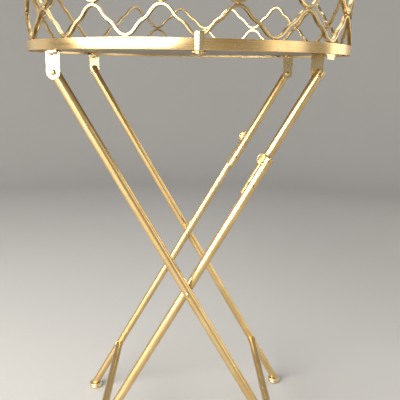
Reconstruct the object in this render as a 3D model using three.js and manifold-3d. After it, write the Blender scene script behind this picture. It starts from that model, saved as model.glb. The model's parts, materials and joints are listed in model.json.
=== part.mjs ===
// Folding tray table: a round tray with a pierced lattice gallery on two X-crossed tube frames.
// Millimetres, +Z up. The origin is on the floor, on the tray's axis; the legs cross in X-Z planes.
// Frame A is one piece from its left brackets to its right feet. Frame B hangs from the right
// brackets on two short links, and folds at the elbow where link and leg lie side by side.
import * as THREE from 'three';
import { mergeVertices } from 'three/addons/utils/BufferGeometryUtils.js';
import Module from 'manifold-3d';

const wasm = await Module();
wasm.setup();

// ---- Driving dimensions ----
const GAP = 0.3; // between pieces that touch

const RIM_R = 240; // outer radius of the rim band
const RIM_T = 2;
const RIM_H = 13.6;
const UNDERSIDE_Z = 650.5; // lower edge of the rim band
const PANEL_RECESS = 3.5; // rim's lower edge to the panel's underside
const PANEL_T = 1.5;
const PANEL_FIT = 0.4; // round the panel, inside the rim

const CELLS = 16; // lattice cells round the gallery
const STEPS = 12; // straight steps to a cell
const RIBBON_T = 4; // strip's thickness, seen from outside
const RIBBON_DEPTH = 5.5; // strip's width, towards the tray's axis
const RIBBON_INSET = 0.2; // from the rim's outer face
const WAVE_H = 33.7; // valley to peak, along the strip's middle
const SHOULDER = 0.07; // strength of the ogee's kink half way up
const ROUNDING = 0.035; // how much fuller than a cosine its ends are
const FIRST_VALLEY = 2.1; // degrees from the front
// The strips are bent by hand. Their waves stand off even spacing by these degrees: a mean, then the
// cosine and sine parts of once, twice and three times round the tray.
const DRIFT_MEAN = 1.22;
const DRIFT_WAVES = [[0.22, 1.03], [-0.29, -1.09], [-1.01, -0.96]];

const TUBE_R = 6.7; // leg tube
const TUBE_WALL = 1.2;
const BAR_R = 6.4; // cross bars
const HALF_SPAN = 172; // tray axis to the leg pivots, along X
const PIVOT_DROP = 28; // rim's lower edge to the leg pivots
const LEG_ANGLE = THREE.MathUtils.degToRad(60); // legs above the floor, when set up
const LEG_A_Y = 159.5; // middle of frame A's tubes
const LEG_B_Y = 140.8; // middle of frame B's tubes
const LINK_Y = 123; // middle of the links
const TOP_OVERRUN = 8; // tube past its top pivot
const LAP_UP = 45; // frame B's tube past the elbow
const LAP_DOWN = 17.5; // link past the elbow
const BAR_HEIGHT = 95; // cross bars above the floor
const FOOT_R = 12;
const FOOT_H = 9.5;
const FOOT_BEVEL = 1.6;
const FOOT_GROOVE = 1.1; // between the foot's base and its cap

const PLATE_T = 2.5; // leg brackets
const PLATE_W = 16.8;
const PLATE_GAP = 0.4; // running clearance between bracket and tube
const FLANGE_L = 19;
const RIVET_R = 2.5;
const RIVET_HEAD_R = 3.9;
const RIVET_HEAD_H = 2.1;
const RIVET_TAIL_R = 3.3;
const RIVET_TAIL_H = 1.2;
const HOLE_R = 2.8;
const SCREW_R = 2;
const SCREW_HOLE_R = 2.3;
const SCREW_HEAD_R = 4;
const SCREW_HEAD_H = 2.2;
const SCREW_OFFSET = 12.5; // bracket plate's middle to its screw
const SPACER_R = 5.5;

// ---- Places worked out from them ----
const PIVOT_Z = UNDERSIDE_Z - PIVOT_DROP;
const PANEL_Z = UNDERSIDE_Z + PANEL_RECESS;
const SIDE = 2 * HALF_SPAN; // pivots and crossing form an equal-sided triangle
const DOWN_A = new THREE.Vector3(Math.cos(LEG_ANGLE), 0, -Math.sin(LEG_ANGLE));
const DOWN_B = new THREE.Vector3(-Math.cos(LEG_ANGLE), 0, -Math.sin(LEG_ANGLE));
const OUTWARD_B = new THREE.Vector3(-Math.sin(LEG_ANGLE), 0, Math.cos(LEG_ANGLE)); // up and left
const BAR_AT = (PIVOT_Z - BAR_HEIGHT) / Math.sin(LEG_ANGLE);
const FOOT_AT = (PIVOT_Z - FOOT_H) / Math.sin(LEG_ANGLE);
const ELBOW_AT = SIDE / 2;
const SIDES = { front: -1, rear: 1 };

const onA = (along, y) =>
  new THREE.Vector3(-HALF_SPAN, y, PIVOT_Z).addScaledVector(DOWN_A, along);
const onB = (along, y) =>
  new THREE.Vector3(HALF_SPAN, y, PIVOT_Z).addScaledVector(DOWN_B, along);

// ---- Materials ----
const metal = (color, roughness) => new THREE.MeshStandardMaterial({ color, roughness, metalness: 1 });
const finish = {
  tube: metal(0xc9a874, 0.34),
  rim: metal(0xd2ad72, 0.3),
  lattice: metal(0xc8a46a, 0.36),
  panel: metal(0x9c8a6a, 0.5),
  plate: metal(0xcdbb98, 0.32),
  rivet: metal(0xbf9c66, 0.35),
};

// ---- Solids ----
function toSolid(geometry) {
  const bare = geometry.clone();
  bare.deleteAttribute('normal');
  bare.deleteAttribute('uv');
  const merged = mergeVertices(bare, 1e-4);
  return new wasm.Manifold(new wasm.Mesh({
    numProp: 3,
    vertProperties: new Float32Array(merged.attributes.position.array),
    triVerts: new Uint32Array(merged.index.array),
  }));
}

function toGeometry(solid) {
  const mesh = solid.getMesh();
  const geometry = new THREE.BufferGeometry();
  geometry.setAttribute('position', new THREE.BufferAttribute(new Float32Array(mesh.vertProperties), 3));
  geometry.setIndex(new THREE.BufferAttribute(new Uint32Array(mesh.triVerts), 1));
  geometry.computeVertexNormals();
  return geometry;
}

function cut(geometry, ...tools) {
  return toGeometry(tools.reduce((solid, tool) => solid.subtract(toSolid(tool)), toSolid(geometry)));
}

function join(geometry, ...others) {
  return toGeometry(others.reduce((solid, other) => solid.add(toSolid(other)), toSolid(geometry)));
}

// A round bar or drill from one point to another.
function rod(from, to, radius, sides = 24) {
  const span = new THREE.Vector3().subVectors(to, from);
  const geometry = new THREE.CylinderGeometry(radius, radius, span.length(), sides);
  const turn = new THREE.Quaternion().setFromUnitVectors(
    new THREE.Vector3(0, 1, 0), span.clone().normalize());
  return geometry.applyQuaternion(turn).translate(
    (from.x + to.x) / 2, (from.y + to.y) / 2, (from.z + to.z) / 2);
}

function tube(from, to, radius) {
  const past = new THREE.Vector3().subVectors(to, from).normalize();
  const bore = rod(from.clone().sub(past), to.clone().add(past), radius - TUBE_WALL);
  return cut(rod(from, to, radius), bore);
}

// A hole across Y, through everything at one point.
const DRILL_REACH = 15;
function crossHole(at) {
  const reach = new THREE.Vector3(0, DRILL_REACH, 0);
  return rod(at.clone().sub(reach), at.clone().add(reach), HOLE_R, 16);
}

function block(x0, x1, y0, y1, z0, z1) {
  return new THREE.BoxGeometry(x1 - x0, y1 - y0, z1 - z0).translate(
    (x0 + x1) / 2, (y0 + y1) / 2, (z0 + z1) / 2);
}

// A turned piece: profile points are [radius, height], and the axis runs along +Z.
function turned(profile, segments) {
  const points = profile.map(([r, h]) => new THREE.Vector2(r, h));
  return new THREE.LatheGeometry(points, segments).rotateX(Math.PI / 2);
}

// A rivet on a Y axis: a domed head at y = head, a flat one at y = tail when there is one.
function rivet(x, z, head, tail, hasTail = true) {
  const length = Math.abs(tail - head);
  const tip = hasTail
    ? [[RIVET_R, length], [RIVET_TAIL_R, length], [RIVET_TAIL_R * 0.9, length + RIVET_TAIL_H]]
    : [[RIVET_R, length]];
  const profile = [
    [0, -RIVET_HEAD_H], [RIVET_HEAD_R * 0.55, -RIVET_HEAD_H * 0.8], [RIVET_HEAD_R * 0.9, -RIVET_HEAD_H * 0.4],
    [RIVET_HEAD_R, 0], [RIVET_R, 0], ...tip, [0, tip.at(-1)[1]],
  ];
  const towards = Math.sign(tail - head);
  return turned(profile, 12).rotateX(-towards * Math.PI / 2).translate(x, head, z);
}

function spacer(x, z, yFrom, yTo, radius) {
  return cut(
    rod(new THREE.Vector3(x, yFrom, z), new THREE.Vector3(x, yTo, z), radius),
    crossHole(new THREE.Vector3(x, (yFrom + yTo) / 2, z)));
}

const table = new THREE.Group();
function add(name, geometry, material) {
  const mesh = new THREE.Mesh(geometry, material);
  mesh.name = name;
  table.add(mesh);
}

// ---- Tray ----
function ring(inner, outer, z0, z1, segments) {
  return turned([[inner, z0], [outer, z0], [outer, z1], [inner, z1], [inner, z0]], segments);
}

// The height of the lattice strip above its valley, at a share of the way from valley to peak.
function ogee(share) {
  const once = Math.sin(2 * Math.PI * share);
  const kink = once - Math.sin(4 * Math.PI * share) / 2;
  const fuller = once - Math.sin(6 * Math.PI * share) / 3;
  return WAVE_H * ((1 - Math.cos(Math.PI * share)) / 2 + SHOULDER * kink - ROUNDING * fuller);
}

// Where the wave that would stand at an even angle really stands, in radians.
function drifted(evenDegrees) {
  const even = THREE.MathUtils.degToRad(evenDegrees);
  const drift = DRIFT_WAVES.reduce((sum, [cosine, sine], i) =>
    sum + cosine * Math.cos((i + 1) * even) + sine * Math.sin((i + 1) * even), DRIFT_MEAN);
  return even + THREE.MathUtils.degToRad(drift);
}

// A strip on edge that runs round the tray in CELLS waves. Half a cell later, the next one
// rests its valleys on this one's peaks.
const NUDGE = 0.01;
function galleryWave(valleyZ, firstValley) {
  const middle = RIM_R - RIBBON_DEPTH / 2 - RIBBON_INSET;
  const steps = CELLS * STEPS;
  const arc = Math.PI * middle / CELLS; // valley to peak, along the circle
  const positions = [];
  for (let i = 0; i < steps; i++) {
    const angle = drifted(firstValley + (360 * i) / steps);
    const place = (2 * (i % STEPS)) / STEPS;
    const share = place > 1 ? 2 - place : place;
    const rise = (ogee(share + NUDGE) - ogee(share - NUDGE)) / (2 * NUDGE * arc);
    const slope = place > 1 ? -rise : rise;
    const tilt = Math.atan(slope);
    for (const [side, edge] of [[-1, -1], [1, -1], [1, 1], [-1, 1]]) {
      const r = middle + side * RIBBON_DEPTH / 2;
      const along = -edge * RIBBON_T / 2 * Math.sin(tilt) / middle;
      const z = valleyZ + ogee(share) + edge * RIBBON_T / 2 * Math.cos(tilt);
      positions.push(r * Math.sin(angle + along), -r * Math.cos(angle + along), z);
    }
  }
  const index = [];
  for (let i = 0; i < steps; i++) {
    for (let k = 0; k < 4; k++) {
      const a = 4 * i + k;
      const b = 4 * i + ((k + 1) % 4);
      const c = 4 * ((i + 1) % steps) + ((k + 1) % 4);
      const d = 4 * ((i + 1) % steps) + k;
      index.push(a, d, b, b, d, c);
    }
  }
  const geometry = new THREE.BufferGeometry();
  geometry.setAttribute('position', new THREE.Float32BufferAttribute(positions, 3));
  geometry.setIndex(index);
  geometry.computeVertexNormals();
  return geometry;
}

// A bent strap whose side outline is [radius, z], standing across the rim at an angle.
function rimPiece(outline, width, angle) {
  const shape = new THREE.Shape(outline.map(([r, z]) => new THREE.Vector2(r, z)));
  return new THREE.ExtrudeGeometry(shape, { depth: width, bevelEnabled: false })
    .translate(0, 0, -width / 2).rotateX(Math.PI / 2).rotateZ(angle - Math.PI / 2);
}

const valley1Z = UNDERSIDE_Z + RIM_H + GAP + RIBBON_T / 2;
const valley2Z = valley1Z + WAVE_H + RIBBON_T + GAP;

add('rim_band', ring(RIM_R - RIM_T, RIM_R, UNDERSIDE_Z, UNDERSIDE_Z + RIM_H, 96), finish.rim);
const panelR = RIM_R - RIM_T - PANEL_FIT;
add('tray_panel', turned([[0, PANEL_Z], [panelR, PANEL_Z], [panelR, PANEL_Z + PANEL_T],
  [0, PANEL_Z + PANEL_T]], 96), finish.panel);
add('gallery_lower_wave', galleryWave(valley1Z, FIRST_VALLEY), finish.lattice);
add('gallery_upper_wave', galleryWave(valley2Z, FIRST_VALLEY + 180 / CELLS), finish.lattice);

// The clip closes the rim band's joint and holds the gallery's first valley.
const STRAP_T = 1.5;
const STRAP_W = 10;
const CLIP_TAIL = 14; // strap turned in under the rim
const CLIP_RISE = 3.4; // over the strip's top
const CLIP_REACH = 2; // past the strip, towards the tray's axis
const clipAngle = drifted(FIRST_VALLEY);
const clipOut = RIM_R + GAP + STRAP_T;
const clipIn = RIM_R - RIBBON_DEPTH - CLIP_REACH - STRAP_T;
const clipTop = valley1Z + RIBBON_T / 2 + CLIP_RISE;
const clipBottom = UNDERSIDE_Z - GAP - STRAP_T;
const clipFoot = PANEL_Z + PANEL_T + GAP; // the strap's inner end, over the panel
add('rim_joint_clip', rimPiece([
  [clipOut - CLIP_TAIL, clipBottom], [clipOut, clipBottom], [clipOut, clipTop], [clipIn, clipTop],
  [clipIn, clipFoot], [clipIn + STRAP_T, clipFoot],
  [clipIn + STRAP_T, clipTop - STRAP_T], [clipOut - STRAP_T, clipTop - STRAP_T],
  [clipOut - STRAP_T, clipBottom + STRAP_T], [clipOut - CLIP_TAIL, clipBottom + STRAP_T],
], STRAP_W, clipAngle), finish.plate);

const CLIP_STUD_R = 5.6;
const CLIP_STUD_H = 3.5;
const CLIP_STUD_IN = 5; // rim's outer face to the stud's middle
const STUD_BEVEL = 1;
const studR = RIM_R - CLIP_STUD_IN;
add('rim_clip_screw', turned([[0, -CLIP_STUD_H], [CLIP_STUD_R - STUD_BEVEL, -CLIP_STUD_H],
  [CLIP_STUD_R, STUD_BEVEL - CLIP_STUD_H], [CLIP_STUD_R, 0], [0, 0]], 20)
  .translate(studR * Math.sin(clipAngle), -studR * Math.cos(clipAngle), clipBottom - GAP), finish.rivet);

// Tabs inside the rim carry the panel between the brackets. Only the first, a wider one, hangs below the rim.
const TAB_T = 1.8;
const TAB_W = 8;
const TAB_L = 12; // along the panel
const TAB_SPACING = Math.PI / 4;
const LOW_TAB_W = 22;
const LOW_TAB_DROP = 7; // below the rim
const LOW_TAB_TURN = Math.PI / 72; // further from the clip
const tabCornerR = RIM_R - RIM_T - GAP;
const tabTop = PANEL_Z - GAP;
[1, 2, 3, 4, 6].forEach((place, i) => {
  const hangs = i === 0;
  const width = hangs ? LOW_TAB_W : TAB_W;
  const out = Math.sqrt(tabCornerR ** 2 - (width / 2) ** 2);
  const low = hangs ? UNDERSIDE_Z - LOW_TAB_DROP : UNDERSIDE_Z;
  const angle = clipAngle + place * TAB_SPACING + (hangs ? LOW_TAB_TURN : 0);
  add(`panel_tab_${i + 1}`, rimPiece([
    [out - TAB_T, low], [out, low], [out, tabTop],
    [out - TAB_L, tabTop], [out - TAB_L, tabTop - TAB_T], [out - TAB_T, tabTop - TAB_T],
  ], width, angle), finish.plate);
});

// ---- Leg brackets: a plate with a round end, its top folded in under the tray ----
function bracket(x, y, side, topZ) {
  const outline = new THREE.Shape();
  const half = PLATE_W / 2;
  outline.moveTo(-half, 0);
  outline.absarc(0, 0, half, Math.PI, 2 * Math.PI, false);
  outline.lineTo(half, topZ - PIVOT_Z);
  outline.lineTo(-half, topZ - PIVOT_Z);
  const plate = new THREE.ExtrudeGeometry(outline, { depth: PLATE_T, bevelEnabled: false, curveSegments: 16 })
    .rotateX(Math.PI / 2).translate(x, y + PLATE_T / 2, PIVOT_Z);
  const inner = y - side * FLANGE_L;
  const outer = y + side * PLATE_T / 2;
  const flange = block(x - half, x + half, Math.min(inner, outer), Math.max(inner, outer),
    topZ - PLATE_T, topZ);
  const screwY = y - side * SCREW_OFFSET;
  const screwHole = rod(new THREE.Vector3(x, screwY, topZ - DRILL_REACH),
    new THREE.Vector3(x, screwY, topZ + DRILL_REACH), SCREW_HOLE_R, 16);
  return cut(join(plate, flange), crossHole(new THREE.Vector3(x, y, PIVOT_Z)), screwHole);
}

function bracketScrew(x, y, flangeZ) {
  const head = flangeZ - GAP;
  return turned([[0, head - SCREW_HEAD_H], [SCREW_HEAD_R * 0.65, head - SCREW_HEAD_H * 0.9],
    [SCREW_HEAD_R, head - SCREW_HEAD_H * 0.4], [SCREW_HEAD_R, head], [SCREW_R, head],
    [SCREW_R, PANEL_Z - GAP], [0, PANEL_Z - GAP]], 16).translate(x, y, 0);
}

const plateAY = LEG_A_Y + TUBE_R + PLATE_GAP + PLATE_T / 2;
const plateBY = LINK_Y - TUBE_R - PLATE_GAP - PLATE_T / 2;
const topA = UNDERSIDE_Z - GAP;
const topB = PANEL_Z - GAP;

for (const [where, side] of Object.entries(SIDES)) {
  const yA = side * plateAY;
  const yB = side * plateBY;
  const screwAY = yA - side * SCREW_OFFSET;
  add(`bracket_a_${where}`, bracket(-HALF_SPAN, yA, side, topA), finish.plate);
  add(`bracket_b_${where}`, bracket(HALF_SPAN, yB, side, topB), finish.plate);
  add(`bracket_screw_a_${where}`, bracketScrew(-HALF_SPAN, screwAY, topA - PLATE_T), finish.rivet);
  add(`bracket_screw_b_${where}`,
    bracketScrew(HALF_SPAN, yB - side * SCREW_OFFSET, topB - PLATE_T), finish.rivet);
  add(`bracket_spacer_${where}`, ring(SCREW_HOLE_R, SPACER_R, topA + GAP, PANEL_Z - GAP, 20)
    .translate(-HALF_SPAN, screwAY, 0), finish.rivet);
  add(`pivot_rivet_a_${where}`, rivet(-HALF_SPAN, PIVOT_Z, side * (plateAY + PLATE_T / 2 + GAP),
    side * (LEG_A_Y - TUBE_R - GAP)), finish.rivet);
  add(`pivot_rivet_b_${where}`, rivet(HALF_SPAN, PIVOT_Z, side * (plateBY - PLATE_T / 2 - GAP),
    side * (LINK_Y + TUBE_R + GAP)), finish.rivet);
}

// ---- Feet and cross bars ----
function foot(at) {
  const waist = FOOT_H / 2 - FOOT_GROOVE / 2;
  return turned([[0, 0], [FOOT_R - FOOT_BEVEL, 0], [FOOT_R, FOOT_BEVEL], [FOOT_R, waist - FOOT_GROOVE],
    [FOOT_R - FOOT_GROOVE, waist], [FOOT_R, waist + FOOT_GROOVE], [FOOT_R, FOOT_H - FOOT_BEVEL],
    [FOOT_R - FOOT_BEVEL, FOOT_H], [0, FOOT_H]], 28).translate(at.x, at.y, 0);
}

// The bar's ends are coped to fit round the two legs.
const COPE_REACH = 20;
function crossBar(at, legY, direction) {
  const copes = Object.values(SIDES).map((side) => {
    const middle = at.clone().setY(side * legY);
    return rod(middle.clone().addScaledVector(direction, -COPE_REACH),
      middle.clone().addScaledVector(direction, COPE_REACH), TUBE_R + GAP);
  });
  return cut(tube(at.clone().setY(-legY), at.clone().setY(legY), BAR_R), ...copes);
}

// Leg tubes are made too long, then cut level over their feet.
const TO_CUT = 10;
const floorCut = block(-RIM_R, RIM_R, -RIM_R, RIM_R, -TO_CUT, FOOT_H + GAP);
const cross = onA(SIDE, 0);
const elbow = onB(ELBOW_AT, 0);

// ---- Frame A ----
add('crossbar_a', crossBar(onA(BAR_AT, 0), LEG_A_Y, DOWN_A), finish.tube);
for (const [where, side] of Object.entries(SIDES)) {
  const y = side * LEG_A_Y;
  add(`leg_a_${where}`, cut(tube(onA(-TOP_OVERRUN, y), onA(FOOT_AT + TO_CUT, y), TUBE_R),
    crossHole(onA(0, y)), crossHole(onA(SIDE, y)), floorCut), finish.tube);
  add(`foot_a_${where}`, foot(onA(FOOT_AT, y)), finish.rivet);
  // The crossing rivet stays in frame A, and its end stands clear of frame B.
  const inner = side * (LEG_B_Y + TUBE_R + 2 * GAP);
  add(`cross_rivet_a_${where}`,
    rivet(cross.x, cross.z, side * (LEG_A_Y + TUBE_R + GAP), inner, false), finish.rivet);
  add(`cross_spacer_${where}`,
    spacer(cross.x, cross.z, side * (LEG_A_Y - TUBE_R - GAP), inner, SPACER_R), finish.rivet);
}

// ---- Links: frame B's short upper tubes ----
for (const [where, side] of Object.entries(SIDES)) {
  const y = side * LINK_Y;
  add(`link_${where}`, cut(tube(onB(-TOP_OVERRUN, y), onB(ELBOW_AT + LAP_DOWN, y), TUBE_R),
    crossHole(onB(0, y)), crossHole(onB(ELBOW_AT, y))), finish.tube);
}

// ---- Frame B ----
// A stop plate stands between leg and link at the lap's upper end. Its ear shows beside the
// tubes, and its folded lip lies over the link, so that the leg locks straight under load.
const STOP_T = 2;
const STOP_LENGTH = 16;
const STOP_EAR = 6.5; // ear past the tube's side
const STOP_SHOULDER = 1; // its straight sides past the tube
const STOP_ROOT = 4; // plate past the tube's middle, away from its ear
const STOP_LIP_L = 10;
const STOP_LIP_PAST = 2; // lip past the link's middle
const STOP_AT = ELBOW_AT - LAP_UP + 6; // its middle, from the pivot

function stopPlate(side) {
  const legSide = LEG_B_Y - TUBE_R - GAP; // plate's outer face, against the leg
  const half = STOP_LENGTH / 2;
  const edge = TUBE_R + GAP;
  const shoulder = edge + STOP_SHOULDER;
  const outline = new THREE.Shape();
  outline.moveTo(-half, -STOP_ROOT);
  outline.lineTo(half, -STOP_ROOT);
  outline.lineTo(half, shoulder);
  outline.absellipse(0, shoulder, half, STOP_EAR - STOP_SHOULDER, 0, Math.PI, false);
  const plate = new THREE.ExtrudeGeometry(outline, { depth: STOP_T, bevelEnabled: false, curveSegments: 14 });
  const lipWidth = legSide - (LINK_Y - STOP_LIP_PAST);
  const lip = block(-STOP_LIP_L / 2, STOP_LIP_L / 2, edge, edge + STOP_T, 0, lipWidth);
  const along = new THREE.Matrix4().makeBasis(
    DOWN_B.clone().multiplyScalar(-side), OUTWARD_B, new THREE.Vector3(0, -side, 0));
  const place = onB(STOP_AT, side * legSide);
  return cut(join(plate, lip).applyMatrix4(along).translate(place.x, place.y, place.z), crossHole(place));
}

add('crossbar_b', crossBar(onB(BAR_AT, 0), LEG_B_Y, DOWN_B), finish.tube);
for (const [where, side] of Object.entries(SIDES)) {
  const y = side * LEG_B_Y;
  const stop = onB(STOP_AT, y);
  add(`leg_b_${where}`, cut(tube(onB(ELBOW_AT - LAP_UP, y), onB(FOOT_AT + TO_CUT, y), TUBE_R),
    crossHole(onB(ELBOW_AT, y)), crossHole(onB(SIDE, y)), crossHole(stop), floorCut), finish.tube);
  add(`foot_b_${where}`, foot(onB(FOOT_AT, y)), finish.rivet);
  add(`elbow_rivet_${where}`, rivet(elbow.x, elbow.z, side * (LEG_B_Y + TUBE_R + GAP),
    side * (LINK_Y - TUBE_R - GAP)), finish.rivet);
  add(`elbow_spacer_${where}`, spacer(elbow.x, elbow.z, side * (LEG_B_Y - TUBE_R - GAP),
    side * (LINK_Y + TUBE_R + GAP), SPACER_R), finish.rivet);
  add(`cross_rivet_b_${where}`, rivet(cross.x, cross.z, side * (LEG_B_Y - TUBE_R - GAP),
    side * (LEG_B_Y + TUBE_R - GAP), false), finish.rivet);
  add(`stop_plate_${where}`, stopPlate(side), finish.plate);
  add(`stop_rivet_${where}`, rivet(stop.x, stop.z, side * (LEG_B_Y + TUBE_R + GAP),
    side * (LEG_B_Y - TUBE_R - GAP - STOP_T), false), finish.rivet);
}

export default table;
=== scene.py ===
"""Folding brass tray table: the finished pieces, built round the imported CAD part.

Metres, +Z up. The tray's axis is the world's Z axis, and the floor is z = 0.
The front of the table faces -Y. Angles round the tray are measured from the front.
"""

import json
import math
import random

import bmesh
import bpy
from mathutils import Matrix, Vector, noise


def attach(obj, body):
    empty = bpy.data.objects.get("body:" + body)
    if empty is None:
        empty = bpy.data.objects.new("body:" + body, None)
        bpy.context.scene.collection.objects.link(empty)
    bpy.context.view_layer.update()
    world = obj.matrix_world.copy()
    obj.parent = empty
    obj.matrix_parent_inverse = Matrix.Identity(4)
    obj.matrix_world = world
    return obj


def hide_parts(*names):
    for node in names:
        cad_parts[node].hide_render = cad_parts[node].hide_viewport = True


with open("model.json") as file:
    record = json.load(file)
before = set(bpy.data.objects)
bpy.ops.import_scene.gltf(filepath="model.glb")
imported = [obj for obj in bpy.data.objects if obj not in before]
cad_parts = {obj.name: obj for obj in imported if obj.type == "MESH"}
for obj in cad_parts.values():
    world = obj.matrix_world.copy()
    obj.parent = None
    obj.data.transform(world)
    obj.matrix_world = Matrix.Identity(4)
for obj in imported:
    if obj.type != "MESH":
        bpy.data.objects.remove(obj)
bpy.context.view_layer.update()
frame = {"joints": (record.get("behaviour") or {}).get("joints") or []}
scene = bpy.context.scene
draw = random.Random(11)

MM = 0.001
FRONT_REAR = {"front": -1, "rear": 1}

# ---- The CAD part's dimensions ----
JOINT_AT = {j["name"]: Vector(j["pos_m"]) for j in frame["joints"]}
PIVOT_A = JOINT_AT["legs_fold"]
PIVOT_B = JOINT_AT["link_swing"]
RIM_R = 240 * MM
RIM_T = 2 * MM
RIM_LOW = 650.5 * MM
RIM_TOP = 664.1 * MM
PANEL_Z = 654 * MM
PANEL_T = 1.5 * MM
CELLS = 16
STRIP_T = 4 * MM
STRIP_DEPTH = 5.5 * MM
STRIP_MIDDLE = RIM_R - STRIP_DEPTH / 2 - 0.2 * MM
WAVE_H = 33.7 * MM
SHOULDER = 0.07
ROUNDING = 0.035
FIRST_VALLEY = 2.1
DRIFT_MEAN = 1.22
DRIFT_WAVES = ((0.22, 1.03), (-0.29, -1.09), (-1.01, -0.96))
LOWER_Z = 666.4 * MM
UPPER_Z = 704.4 * MM
TUBE_R = 6.7 * MM
TUBE_WALL = 1.2 * MM
TUBE_RING_STEP = 20 * MM
BAR_R = 6.4 * MM
LEG_ANGLE = math.radians(60)
LEG_A_Y = 159.5 * MM
LEG_B_Y = 140.8 * MM
LINK_Y = 123 * MM
TOP_OVERRUN = 8 * MM
LAP_UP = 45 * MM
LAP_DOWN = 17.5 * MM
SIDE = 344 * MM
BAR_HEIGHT = 95 * MM
FOOT_R = 12 * MM
FOOT_H = 9.5 * MM
PLATE_T = 2.5 * MM
PLATE_W = 16.8 * MM
FLANGE = 19 * MM
PLATE_A_Y = LEG_A_Y + TUBE_R + 0.4 * MM + PLATE_T / 2
PLATE_B_Y = LINK_Y - TUBE_R - 0.4 * MM - PLATE_T / 2
SCREW_IN = 12.5 * MM
RIVET_R = 2.5 * MM
RIVET_HEAD_R = 3.9 * MM
RIVET_HEAD_H = 2.1 * MM
GAP = 0.3 * MM
SPACER_R = 5.5 * MM

DOWN_A = Vector((math.cos(LEG_ANGLE), 0, -math.sin(LEG_ANGLE)))
DOWN_B = Vector((-math.cos(LEG_ANGLE), 0, -math.sin(LEG_ANGLE)))
OUTWARD_B = Vector((-math.sin(LEG_ANGLE), 0, math.cos(LEG_ANGLE)))
BAR_AT = (PIVOT_A.z - BAR_HEIGHT) / math.sin(LEG_ANGLE)
FOOT_AT = (PIVOT_A.z - FOOT_H) / math.sin(LEG_ANGLE)
ELBOW_AT = SIDE / 2


def on_a(along, y):
    p = PIVOT_A + DOWN_A * along
    return Vector((p.x, y, p.z))


def on_b(along, y):
    p = PIVOT_B + DOWN_B * along
    return Vector((p.x, y, p.z))


# ---- Camera ----
CAMERA_AT = Vector((-0.00644, -0.90536, 0.63177))
CAMERA_YAW = 0.0282
CAMERA_PITCH = 0.2287
CAMERA_ROLL = -0.0154
CAMERA_LENS = 51.39


def make_camera():
    data = bpy.data.cameras.new("photo_camera")
    data.lens = CAMERA_LENS
    data.sensor_width = 36
    data.clip_start = 0.02
    data.clip_end = 30
    camera = bpy.data.objects.new("photo_camera", data)
    scene.collection.objects.link(camera)
    yaw, pitch, roll = CAMERA_YAW, CAMERA_PITCH, CAMERA_ROLL
    ahead = Vector((math.sin(yaw) * math.cos(pitch), math.cos(yaw) * math.cos(pitch), -math.sin(pitch)))
    level = Vector((math.cos(yaw), -math.sin(yaw), 0))
    down = ahead.cross(level)
    right = math.cos(roll) * level + math.sin(roll) * down
    down = -math.sin(roll) * level + math.cos(roll) * down
    turn = Matrix((right, -down, -ahead)).transposed()
    camera.matrix_world = Matrix.Translation(CAMERA_AT) @ turn.to_4x4()
    scene.camera = camera


# ---- Materials ----
def add(tree, kind, inputs=None, **settings):
    made = tree.nodes.new(kind)
    for key, value in settings.items():
        setattr(made, key, value)
    for key, value in (inputs or {}).items():
        if isinstance(value, bpy.types.NodeSocket):
            tree.links.new(value, made.inputs[key])
        else:
            made.inputs[key].default_value = value
    return made


def math_node(tree, operation, a, b=0.0):
    return add(tree, "ShaderNodeMath", {0: a, 1: b}, operation=operation).outputs[0]


def blend_colour(tree, factor, first, second):
    made = add(tree, "ShaderNodeMix", {"Factor": factor}, data_type="RGBA")
    for socket, value in ((made.inputs[6], first), (made.inputs[7], second)):
        if isinstance(value, bpy.types.NodeSocket):
            tree.links.new(value, socket)
        else:
            socket.default_value = (*value, 1)
    return made.outputs[2]


def step_between(tree, value, low, high, to_low=0.0, to_high=1.0):
    return add(tree, "ShaderNodeMapRange", {
        "Value": value, "From Min": low, "From Max": high, "To Min": to_low, "To Max": to_high,
    }).outputs["Result"]


def around_axis(tree, place):
    """Coordinates that run round the tray, out from its axis, and up."""
    x, y, z = add(tree, "ShaderNodeSeparateXYZ", {0: place}).outputs
    angle = math_node(tree, "ARCTAN2", x, math_node(tree, "MULTIPLY", y, -1.0))
    flat = add(tree, "ShaderNodeCombineXYZ", {0: x, 1: y}).outputs[0]
    out = add(tree, "ShaderNodeVectorMath", {0: flat}, operation="LENGTH").outputs["Value"]
    arc = math_node(tree, "MULTIPLY", angle, RIM_R)
    return add(tree, "ShaderNodeCombineXYZ", {0: arc, 1: out, 2: z}).outputs[0]


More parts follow.
